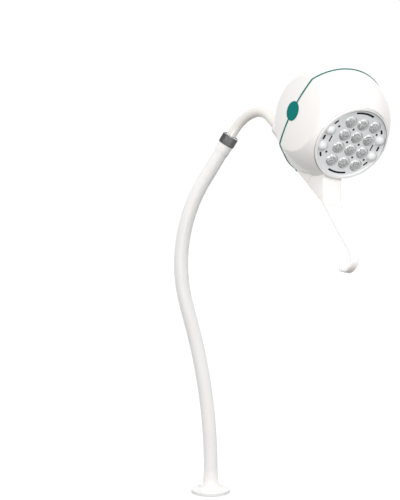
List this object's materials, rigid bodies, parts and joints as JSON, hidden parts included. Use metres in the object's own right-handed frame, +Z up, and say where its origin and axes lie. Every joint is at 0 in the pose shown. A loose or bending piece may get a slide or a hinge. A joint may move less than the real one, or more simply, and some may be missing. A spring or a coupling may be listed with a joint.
{
  "type": "surgical light",
  "caption": "Surgical examination light with an LED ball head, grip handle, swivelling bent tube and flexible gooseneck on a round bolt-down base.",
  "frame": {"origin": "centre of the mounting flange's underside", "axes": "+Z up out of the base; the gooseneck lies in the XZ plane, leaning to +X at its top; the beam points to +X, -Y and down"},
  "size_m": [0.3747, 0.4141, 0.8158],
  "materials": {
    "shell_white": "gloss",
    "teal_rubber": "satin",
    "teal_button": "satin",
    "sleeve_white": "satin",
    "tube_white": "gloss",
    "flange_white": "satin",
    "collar_chrome": "polished",
    "steel": "satin",
    "bronze": "satin",
    "aluminium": "satin",
    "plate_silver": "satin",
    "lens_clear": "polished",
    "dome_white": "satin",
    "lead_black": "matte",
    "board_green": "satin",
    "chip_yellow": "satin",
    "black_plastic": "matte"
  },
  "bodies": {
    "root": {"mount_flange": "flange_white", "base_boot": "shell_white", "boot_screws": "steel", "base_connector": "black_plastic", "neck_core_0": "steel", "neck_sleeve_0": "sleeve_white", "neck_lead_0": "lead_black"},
    "neck_1": {"neck_core_1": "steel", "neck_sleeve_1": "sleeve_white", "neck_lead_1": "lead_black"},
    "neck_2": {"neck_core_2": "steel", "neck_sleeve_2": "sleeve_white", "neck_lead_2": "lead_black"},
    "neck_3": {"neck_core_3": "steel", "neck_sleeve_3": "sleeve_white", "neck_lead_3": "lead_black"},
    "neck_4": {"neck_core_4": "steel", "neck_sleeve_4": "sleeve_white", "neck_lead_4": "lead_black", "swivel_collar": "collar_chrome", "swivel_bush": "bronze"},
    "bent_tube": {"neck_tube": "tube_white", "tube_lead": "lead_black", "swivel_stop": "steel", "head_stop": "steel"},
    "power_key": {"power_button": "teal_button"},
    "dimmer_key": {"dimmer_button": "teal_button"},
    "head": {"bezel": "shell_white", "chassis": "aluminium", "chassis_screws": "steel", "driver_board": "board_green", "front_shell": "shell_white", "handle": "shell_white", "handle_screws": "steel", "head_lead": "lead_black", "heat_sink": "aluminium", "led_board": "aluminium", "led_chips": "chip_yellow", "lens_01": "lens_clear", "lens_02": "lens_clear", "lens_03": "lens_clear", "lens_04": "lens_clear", "lens_05": "lens_clear", "lens_06": "lens_clear", "lens_07": "lens_clear", "lens_08": "lens_clear", "lens_09": "lens_clear", "lens_10": "lens_clear", "lens_11": "lens_clear", "lens_12": "lens_clear", "lens_holders": "plate_silver", "lens_plate": "plate_silver", "plate_backing": "black_plastic", "plate_screws": "steel", "rear_shell": "shell_white", "seam_gasket": "teal_rubber", "shell_screws": "steel", "side_domes": "dome_white", "switch_boards": "board_green"}
  },
  "joints": [
    {"name": "neck_bend_1", "type": "hinge", "parent": "root", "child": "neck_1", "pos_m": [-0.00287, 0, 0.11993], "axis": [0, 1, 0], "range_deg": [-25, 25]},
    {"name": "neck_sway_1", "type": "hinge", "parent": "neck_1", "child": "neck_2", "pos_m": [-0.02101, 0, 0.25362], "axis": [0.9807, 0, 0.1957], "range_deg": [-25, 25]},
    {"name": "neck_bend_2", "type": "hinge", "parent": "neck_2", "child": "neck_3", "pos_m": [-0.05116, 0, 0.38515], "axis": [0, 1, 0], "range_deg": [-25, 25]},
    {"name": "neck_sway_2", "type": "hinge", "parent": "neck_3", "child": "neck_4", "pos_m": [-0.03996, 0, 0.51857], "axis": [0.9534, 0, -0.3019], "range_deg": [-25, 25]},
    {"name": "tube_swivel", "type": "hinge", "parent": "neck_4", "child": "bent_tube", "pos_m": [0.03141, 0, 0.65343], "axis": [0.515, 0, 0.8572], "range_deg": [-160, 160]},
    {"name": "head_roll", "type": "hinge", "parent": "bent_tube", "child": "head", "pos_m": [0.11951, -0.08817, 0.68733], "axis": [0.3925, -0.8265, -0.4035], "range_deg": [-90, 90]},
    {"name": "power_press", "type": "slide", "parent": "head", "child": "power_key", "axis": [0.8221, 0.512, -0.2491], "range_m": [0, 0.0015], "stiffness_N_per_m": 500, "springref_m": -0.0005},
    {"name": "dimmer_press", "type": "slide", "parent": "head", "child": "dimmer_key", "axis": [-0.8221, -0.512, 0.2491], "range_m": [0, 0.0015], "stiffness_N_per_m": 500, "springref_m": -0.0005}
  ]
}
